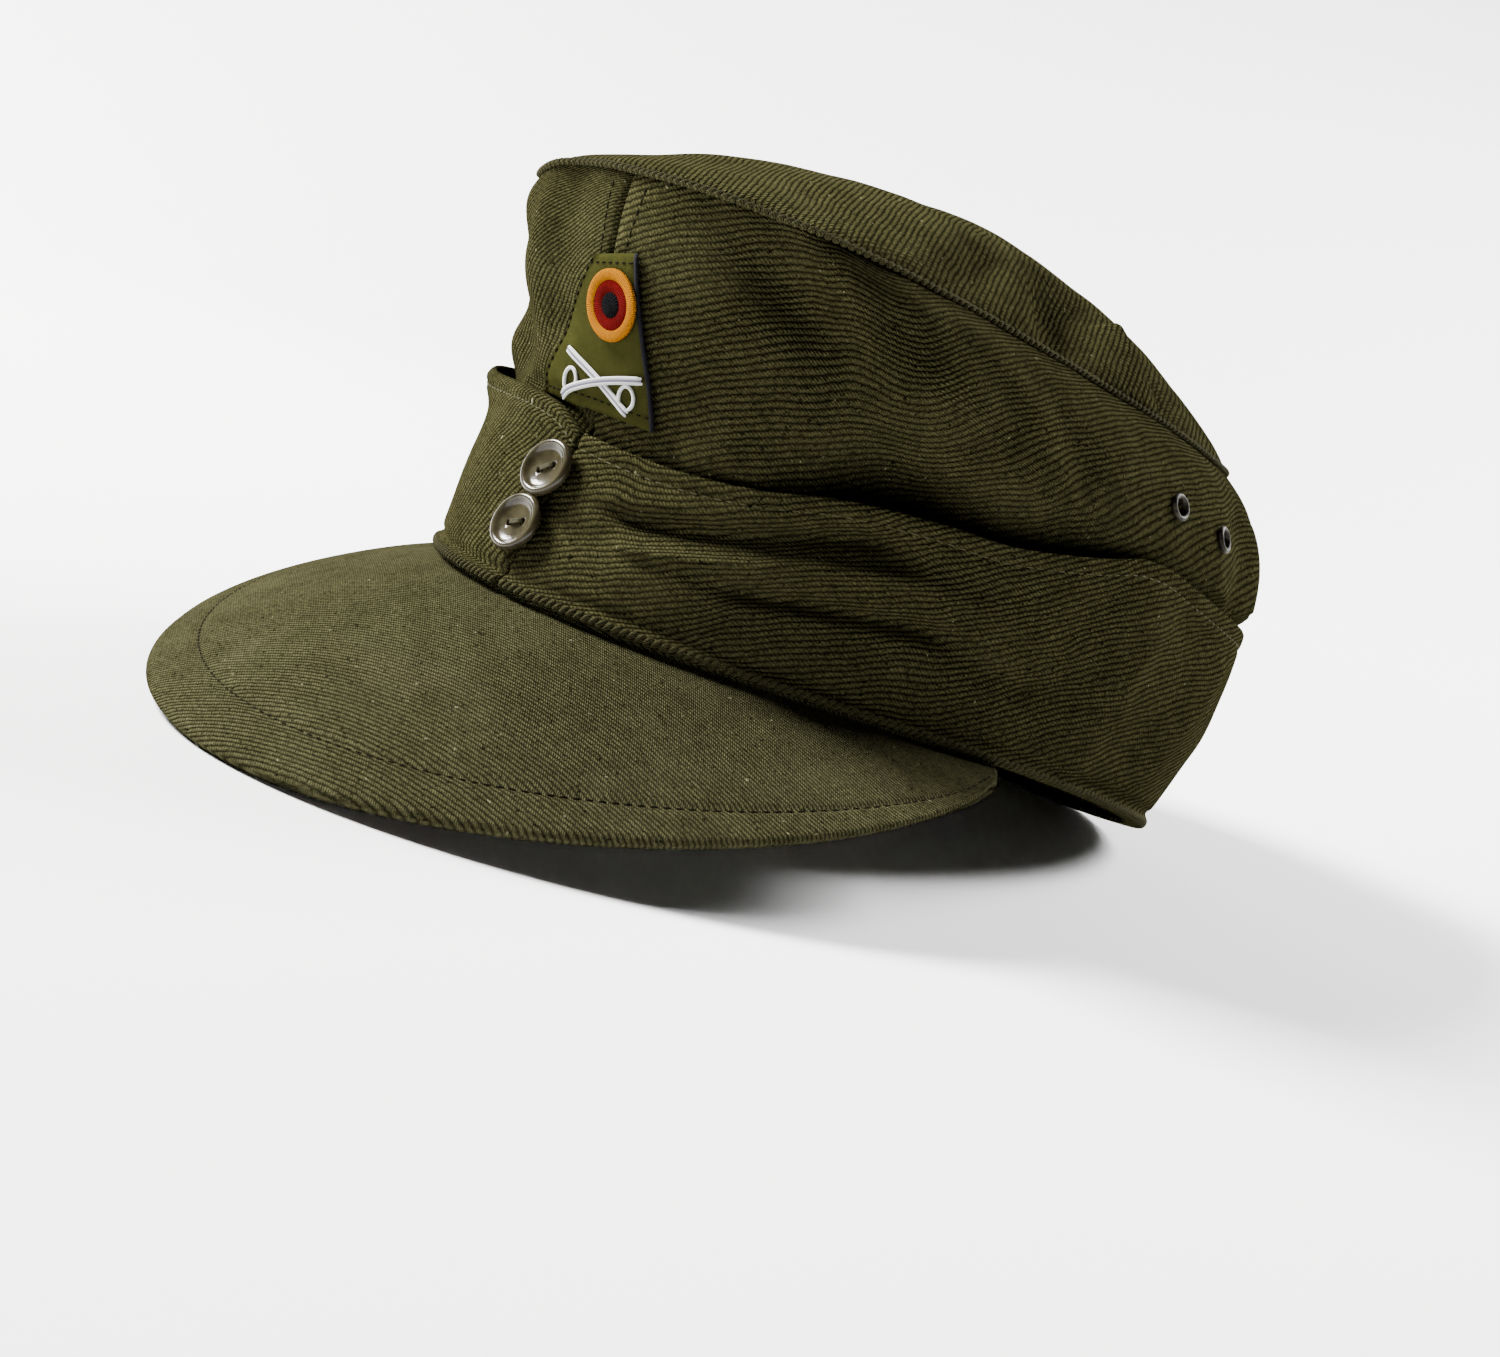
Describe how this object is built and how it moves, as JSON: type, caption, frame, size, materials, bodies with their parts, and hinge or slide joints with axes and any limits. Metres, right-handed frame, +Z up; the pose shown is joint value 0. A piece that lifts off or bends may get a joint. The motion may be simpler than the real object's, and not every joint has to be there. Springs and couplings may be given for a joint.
{
  "type": "field cap",
  "caption": "Olive cotton twill field cap with a domed top, turned-up ear flaps, a stiff peak, a felt patch with cockade and crossed sabres, and a buttoned front.",
  "frame": {"origin": "on the floor, below the middle of the cap's bounding box", "axes": "+Z up, the peak towards -Y, the wearer's left at +X"},
  "size_m": [0.2048, 0.2856, 0.1458],
  "materials": {
    "cloth": "ribbed cotton twill, matt, slightly worn",
    "felt": "olive wool felt, matt",
    "gold_thread": "dense orange-gold embroidery, slight sheen",
    "red_thread": "dense red embroidery",
    "black_thread": "dense black embroidery",
    "white_thread": "white embroidery",
    "button": "glossy olive-brown plastic",
    "sewing_thread": "olive sewing thread",
    "eyelet_metal": "dull grey-brown coated metal"
  },
  "bodies": {
    "root": {"crown_left": "cloth", "crown_right": "cloth", "top_panel": "cloth", "flap_left": "cloth", "flap_right": "cloth", "peak": "cloth", "badge_patch": "felt", "cockade_gold": "gold_thread", "cockade_red": "red_thread", "cockade_black": "black_thread", "crossed_sabres": "white_thread", "button_upper": "button", "button_lower": "button", "button_thread_upper": "sewing_thread", "button_thread_lower": "sewing_thread", "eyelet_left_front": "eyelet_metal", "eyelet_left_rear": "eyelet_metal", "eyelet_right_front": "eyelet_metal", "eyelet_right_rear": "eyelet_metal"}
  },
  "joints": []
}
